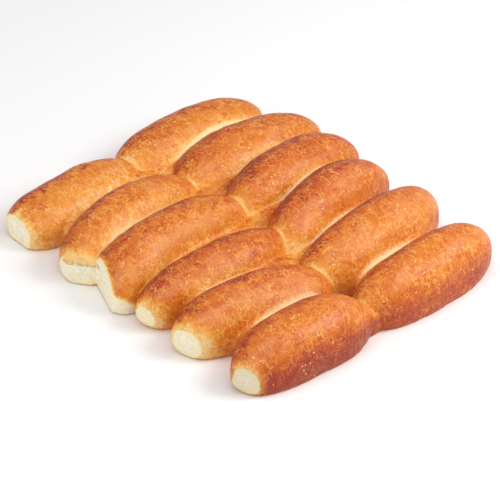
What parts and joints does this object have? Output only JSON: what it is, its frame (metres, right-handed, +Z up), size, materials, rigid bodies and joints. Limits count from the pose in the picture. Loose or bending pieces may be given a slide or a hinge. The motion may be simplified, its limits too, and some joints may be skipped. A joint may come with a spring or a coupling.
{
  "type": "batch of long bread rolls baked together",
  "caption": "Soft long bread rolls grown together side by side and end to end into one flat-bottomed pull-apart batch, with torn pale crumb faces along its front.",
  "frame": {"origin": "middle of the flat underside, on the surface that the batch rests on", "axes": "+X across the rolls of a row, +Y along the rolls from the torn free ends to the rounded ends, +Z up"},
  "size_m": [0.3538, 0.308, 0.0526],
  "materials": {
    "baked_crust": "satin"
  },
  "bodies": {
    "root": {"roll_batch": "baked_crust"}
  },
  "joints": []
}
